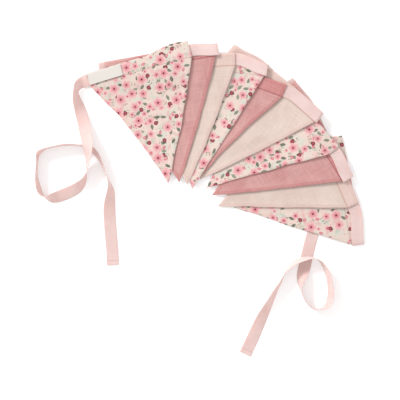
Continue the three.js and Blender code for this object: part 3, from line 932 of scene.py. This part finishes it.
dots = scatter_motif(tree, place, "dot")
dot_mask = fade(tree, vector_calc(tree, "LENGTH", dots["Local"]), DOT_RADIUS, DOT_RADIUS / 2)
dot_ink = blend(tree, dots["Tone"], ink("red dot"), ink("green dot"))
print_layer = print_motif(tree, print_layer, "dot", dots, dot_mask, dot_ink)

shades = scatter_motif(tree, place, "shade leaf")
shade_blade = use_group(tree, leaf, Local=shades["Local"], Length=SHADE_LENGTH, Width=SHADE_WIDTH)["Blade"]
shade_ink = blend(tree, shades["Tone"], ink("green shade"), ink("pink shade"))
print_layer = print_motif(tree, print_layer, "shade leaf", shades, shade_blade, shade_ink)
print("Ground and first layers:", len(tree.nodes), "nodes")

# %% [markdown]
# A sprig is one thin stem with pairs of leaves. The absolute value of the place across the stem folds the
# plane along it, so one leaf draws a pair, and wrapping the place along the stem repeats the pair.

# %% Sprigs and leaves of the print
SPRIG_LENGTH, STEM_WIDTH = 6.5 * MM, 0.4 * MM
PAIR_LENGTH, PAIR_WIDTH = 1.8 * MM, 0.8 * MM
PAIR_HALF_STEP = 2.3 * MM
PAIR_FROM_STEM = 1.6 * MM
PAIR_TURN = math.radians(-46)
PAIRS_END = (5.6 * MM, 5.0 * MM)
VEIN_TINT = 0.4

sprigs = scatter_motif(tree, place, "sprig")
stem = use_group(tree, leaf, Local=sprigs["Local"], Length=SPRIG_LENGTH, Width=STEM_WIDTH)["Blade"]
x, y = split(tree, sprigs["Local"])
fold = join(tree, calc(tree, "WRAP", x, PAIR_HALF_STEP, -PAIR_HALF_STEP),
            calc(tree, "SUBTRACT", calc(tree, "ABSOLUTE", y), PAIR_FROM_STEM))
pair = use_group(tree, leaf, Local=turn_about_z(tree, fold, PAIR_TURN), Length=PAIR_LENGTH, Width=PAIR_WIDTH)
pairs = calc(tree, "MULTIPLY", pair["Blade"], fade(tree, calc(tree, "ABSOLUTE", x), *PAIRS_END))
sprig_ink = blend(tree, sprigs["Tone"], ink("green sprig"), ink("straw sprig"))
print_layer = print_motif(tree, print_layer, "sprig", sprigs, calc(tree, "MAXIMUM", stem, pairs), sprig_ink)

leaves = scatter_motif(tree, place, "leaf")
blade = use_group(tree, leaf, Local=leaves["Local"], Length=LEAF_LENGTH, Width=LEAF_WIDTH)
leaf_ink = blend(tree, leaves["Tone"], ink("dark leaf"), ink("light leaf"))
leaf_ink = blend(tree, calc(tree, "MULTIPLY", blade["Vein"], VEIN_TINT), leaf_ink, ink("vein"))
print_layer = print_motif(tree, print_layer, "leaf", leaves, blade["Blade"], leaf_ink)
print("With sprigs and leaves:", len(tree.nodes), "nodes")

# %% Buds and small flowers of the print
BUD_LENGTH, BUD_WIDTH = 3.4 * MM, 2.3 * MM
CORE_LENGTH, CORE_WIDTH = 0.6 * BUD_LENGTH, 0.5 * BUD_WIDTH
SMALL_RADIUS = (3.4 * MM, 5.2 * MM)
TONE_SPAN = (0.1, 0.9)
PETAL_FADE = (0.0, 0.7)
STAMEN_TINT = 0.7

buds = scatter_motif(tree, place, "bud")
bud = use_group(tree, leaf, Local=buds["Local"], Length=BUD_LENGTH, Width=BUD_WIDTH)["Blade"]
bud_core = use_group(tree, leaf, Local=buds["Local"], Length=CORE_LENGTH, Width=CORE_WIDTH)["Blade"]
bud_ink = blend(tree, bud_core, ink("bud"), ink("bud core"))
print_layer = print_motif(tree, print_layer, "bud", buds, bud, bud_ink)


def print_flowers(tree, place, below, name, least, most):
    """Flowers between two radii, printed over what lies below."""
    blooms = scatter_motif(tree, place, name)
    radius = fade(tree, blooms["Tone"], *TONE_SPAN, least, most)
    bloom = use_group(tree, flower, Local=blooms["Local"], Radius=radius)
    colour = blend(tree, fade(tree, bloom["Depth"], *PETAL_FADE), ink("inner petal"), ink("outer petal"))
    colour = blend(tree, calc(tree, "MULTIPLY", bloom["Stamens"], STAMEN_TINT), colour, ink("stamen"))
    colour = blend(tree, bloom["Heart"], colour, ink("heart"))
    return print_motif(tree, below, name, blooms, bloom["Petals"], colour)


print_layer = print_flowers(tree, place, print_layer, "small flower", *SMALL_RADIUS)
print("With buds and small flowers:", len(tree.nodes), "nodes")

# %% Berries and large flowers of the print
BERRY_RADIUS = 3.3 * MM
BERRY_SHINE = 0.2 * MM
TUFT_LENGTH, TUFT_WIDTH = 2.2 * MM, 1.0 * MM
LARGE_RADIUS = (6.2 * MM, 9.0 * MM)
HEADING_SHADE_TINT = 0.25
PRINT_LIGHT_THREAD = (1.02, 1.02, 1.02, 1)
PRINT_DARK_THREAD = (0.98, 0.98, 0.98, 1)
PRINT_SLUBS = 0.04
PRINT_RELIEF = 0.08 * MM

berries = scatter_motif(tree, place, "berry")
berry_reach = vector_calc(tree, "LENGTH", berries["Local"])
berry_mask = fade(tree, berry_reach, BERRY_RADIUS, BERRY_RADIUS - INK_EDGE)
berry_shade = fade(tree, berry_reach, BERRY_SHINE, BERRY_RADIUS)
berry_ink = blend(tree, berry_shade, ink("light berry"), ink("dark berry"))
from_top = vector_calc(tree, "SUBTRACT", berries["Local"], (0.0, BERRY_RADIUS, 0.0))
tuft = use_group(tree, leaf, Local=from_top, Length=TUFT_LENGTH, Width=TUFT_WIDTH)["Blade"]
print_layer = print_motif(tree, print_layer, "berry", berries, berry_mask, berry_ink)
print_layer = print_motif(tree, print_layer, "berry", berries, tuft, ink("berry tuft"))
print_layer = print_flowers(tree, place, print_layer, "large flower", *LARGE_RADIUS)

# The trough of the heading seam gets painted shade, a fine dark line over the print.
print_layer = tint(tree, print_layer, sewn_places(tree)["Line"], HEADING_SHADE_TINT, INKS["heading trough shade"])
shaded, height = woven_tint(tree, place, print_layer, PRINT_LIGHT_THREAD, PRINT_DARK_THREAD, PRINT_SLUBS)
feed(tree, shader.inputs["Base Color"], shaded)
press_height(tree, shader, height, PRINT_RELIEF)
print("Printed cloth:", len(tree.nodes), "nodes")

# %% [markdown]
# The tape is a fine twill: its lines run slanting across the width, and a firm selvedge holds each edge. It
# is thin enough for light to pass through, so its shader scatters some light under the surface, which keeps
# the shaded side of the loops pink. A fine line marks the sewn hem at each end.

# %% Tape
TWILL_PITCH = 1.1 * MM
SELVEDGE = (7.5 * MM, 7.9 * MM)
TAPE_PATCH = 22 * MM
TAPE_PATCH_EDGE = (0.3, 0.7)
TAPE_RELIEF = 0.1 * MM
LIGHT_THROUGH = 0.6
LIGHT_THROUGH_COLOUR = (1.0, 0.82, 0.78)
LIGHT_THROUGH_DEPTH = 2 * MM
HEM_LINE = (0.9 * MM, 0.2 * MM)
RIB_TINT, BORDER_TINT, HEM_LINE_TINT = 0.25, 0.5, 0.5

pink_tape, tree, shader = start_cloth("pink_tape", roughness=0.8, sheen=0.1)
shader.inputs["Subsurface Weight"].default_value = LIGHT_THROUGH
shader.inputs["Subsurface Radius"].default_value = LIGHT_THROUGH_COLOUR
shader.inputs["Subsurface Scale"].default_value = LIGHT_THROUGH_DEPTH
place = cloth_place(tree)
length_way, width_way = split(tree, place)
ribs = wave(tree, calc(tree, "ADD", length_way, width_way), TWILL_PITCH)
border = fade(tree, calc(tree, "ABSOLUTE", width_way), *SELVEDGE)
to_end = calc(tree, "MINIMUM", length_way, calc(tree, "SUBTRACT", tape_length, length_way))
hem_line = fade(tree, calc(tree, "ABSOLUTE", calc(tree, "SUBTRACT", to_end, TAPE_HEM)), *HEM_LINE)
patches = fade(tree, clouds(tree, place, TAPE_PATCH), *TAPE_PATCH_EDGE)
colour = blend(tree, patches, cloth_colour(248, 219, 214), cloth_colour(244, 212, 207))
colour = tint(tree, colour, ribs, RIB_TINT, (253, 232, 227))
colour = tint(tree, colour, border, BORDER_TINT, (239, 206, 201))
colour = tint(tree, colour, hem_line, HEM_LINE_TINT, (214, 172, 168))
feed(tree, shader.inputs["Base Color"], colour)
press_height(tree, shader, calc(tree, "MAXIMUM", ribs, border), TAPE_RELIEF)
print("Tape material:", len(tree.nodes), "nodes")

# %% [markdown]
# The label is satin: its threads all show in one direction, so its lines run across it and are very low.

# %% Label
SATIN_PITCH = 0.8 * MM
SATIN_RELIEF = 0.04 * MM

white_label, tree, shader = start_cloth("white_label", roughness=0.55, sheen=0.05)
satin = wave(tree, split(tree, cloth_place(tree))[1], SATIN_PITCH)
feed(tree, shader.inputs["Base Color"],
     blend(tree, satin, cloth_colour(232, 225, 217), cloth_colour(240, 234, 227)))
press_height(tree, shader, satin, SATIN_RELIEF)
print("Label material:", len(tree.nodes), "nodes")

# %% [markdown]
# Sewing thread is two plies twisted together. Slanting stripes in object space are enough for that on a
# stitch of two millimetres.

# %% Sewing threads
PLY_PITCH = 0.6 * MM
PLY_RELIEF = 0.05 * MM


def sewing_thread(name, light, dark):
    made, tree, shader = start_cloth(name, roughness=0.7, sheen=0.1)
    x, y = split(tree, add_node(tree, "ShaderNodeTexCoord").outputs["Object"])
    twist = wave(tree, calc(tree, "ADD", x, y), PLY_PITCH)
    feed(tree, shader.inputs["Base Color"], blend(tree, twist, cloth_colour(*dark), cloth_colour(*light)))
    press_height(tree, shader, twist, PLY_RELIEF)
    return made


rose_thread = sewing_thread("rose_thread", (214, 150, 148), (190, 120, 122))
cream_thread = sewing_thread("cream_thread", (236, 212, 200), (214, 184, 172))
print("Threads:", rose_thread.name, cream_thread.name)

# %% Give every sheet its cloth
cloths = {"floral": floral_cotton, "rose": rose_muslin, "cream": cream_linen}
threads = {"floral": cream_thread, "rose": rose_thread, "cream": cream_thread}
for pennant in pennants:
    pennant["piece"].data.materials.append(cloths[pennant["cloth"]])
    pennant["stitches"].data.materials.append(threads[pennant["cloth"]])
tape.data.materials.append(pink_tape)
label.data.materials.append(white_label)
print("Cloths given to", len(pennants), "pennants, the tape and the label")

# %% [markdown]
# ## Floor and light
# The bunting lies on a white surface in wide soft light from the upper left, so the shadows are short and
# pale and fall to the right and below every edge. The floor glows a little, so that it stays white under the
# bunting's own shadow.

# %% Floor
FLOOR_SIZE = 6.0
FLOOR_DROP = 0.3 * MM
FLOOR_GLOW = 0.16
WHITE = (1.0, 1.0, 1.0, 1.0)

floor_mesh = bpy.data.meshes.new("floor")
floor_sheet = bmesh.new()
bmesh.ops.create_grid(floor_sheet, x_segments=1, y_segments=1, size=FLOOR_SIZE / 2)
floor_sheet.to_mesh(floor_mesh)
floor_sheet.free()
floor = bpy.data.objects.new("floor", floor_mesh)
floor.location.z = -FLOOR_DROP
bpy.context.scene.collection.objects.link(floor)
floor_material = bpy.data.materials.new("floor")
floor_material.use_nodes = True
floor_shader = floor_material.node_tree.nodes["Principled BSDF"]
floor_shader.inputs["Base Color"].default_value = screen_colour(246, 246, 246)
floor_shader.inputs["Roughness"].default_value = 1.0
floor_shader.inputs["Specular IOR Level"].default_value = 0.0
floor_shader.inputs["Emission Color"].default_value = WHITE
floor_shader.inputs["Emission Strength"].default_value = FLOOR_GLOW
floor_mesh.materials.append(floor_material)
print("Floor:", FLOOR_SIZE, "m wide")

# %% Light
WORLD_LIGHT = 0.94
KEY_PLACE = Vector((-4.2, 3.8, 3.6))
KEY_SIZE = 1.6
KEY_WATTS = 320

world = bpy.data.worlds.new("studio")
world.use_nodes = True
world_light = world.node_tree.nodes["Background"]
world_light.inputs["Color"].default_value = WHITE
world_light.inputs["Strength"].default_value = WORLD_LIGHT
bpy.context.scene.world = world

key_data = bpy.data.lights.new("key", "AREA")
key_data.shape = "DISK"
key_data.size = KEY_SIZE
key_data.energy = KEY_WATTS
key = bpy.data.objects.new("key", key_data)
key.location = KEY_PLACE
key.rotation_euler = (VIEW_CENTRE - KEY_PLACE).to_track_quat("-Z", "Y").to_euler()
bpy.context.scene.collection.objects.link(key)
print("Light:", KEY_WATTS, "W")

for pennant in pennants:
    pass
print("Sheets declared:", len(pennants) + 2)
